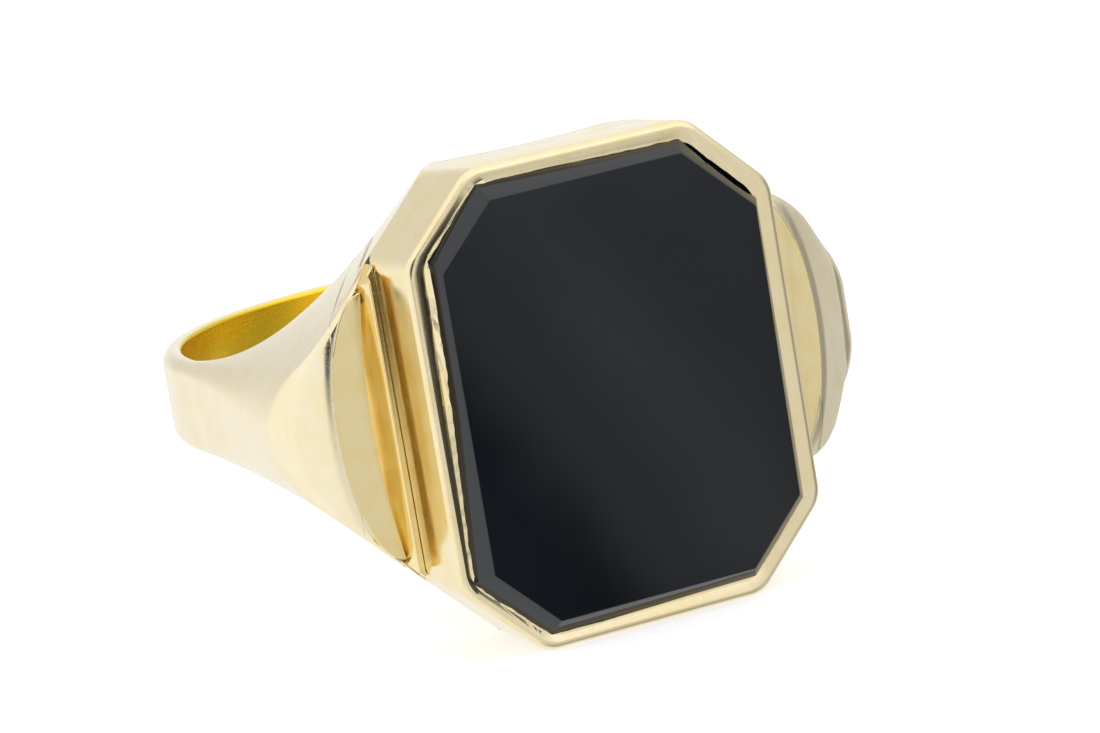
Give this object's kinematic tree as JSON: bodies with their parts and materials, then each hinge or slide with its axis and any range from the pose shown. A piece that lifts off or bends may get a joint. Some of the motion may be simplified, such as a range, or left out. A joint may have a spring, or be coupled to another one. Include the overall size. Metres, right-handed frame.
{
  "type": "signet ring",
  "caption": "Yellow gold signet ring with a tall cut-corner head, a bevelled black onyx tablet in a rubbed-over setting, and stepped shoulders with crescent plates.",
  "frame": {"origin": "centre of the finger bore", "axes": "+Z along the finger bore, -Y out through the face of the head, X across the shoulders"},
  "size_m": [0.0218, 0.0246, 0.0164],
  "materials": {
    "yellow_gold": "polished, softly worn",
    "black_onyx": "polished",
    "setting_cement": "matt"
  },
  "bodies": {
    "root": {"shank_band": "yellow_gold", "shoulder_left": "yellow_gold", "shoulder_right": "yellow_gold", "gallery": "yellow_gold", "bezel_collet": "yellow_gold", "stone_bearer": "yellow_gold", "setting_cement": "setting_cement", "onyx_tablet": "black_onyx", "ridge_bar_left": "yellow_gold", "ridge_bar_right": "yellow_gold", "crescent_plate_left": "yellow_gold", "crescent_plate_right": "yellow_gold"}
  },
  "joints": []
}
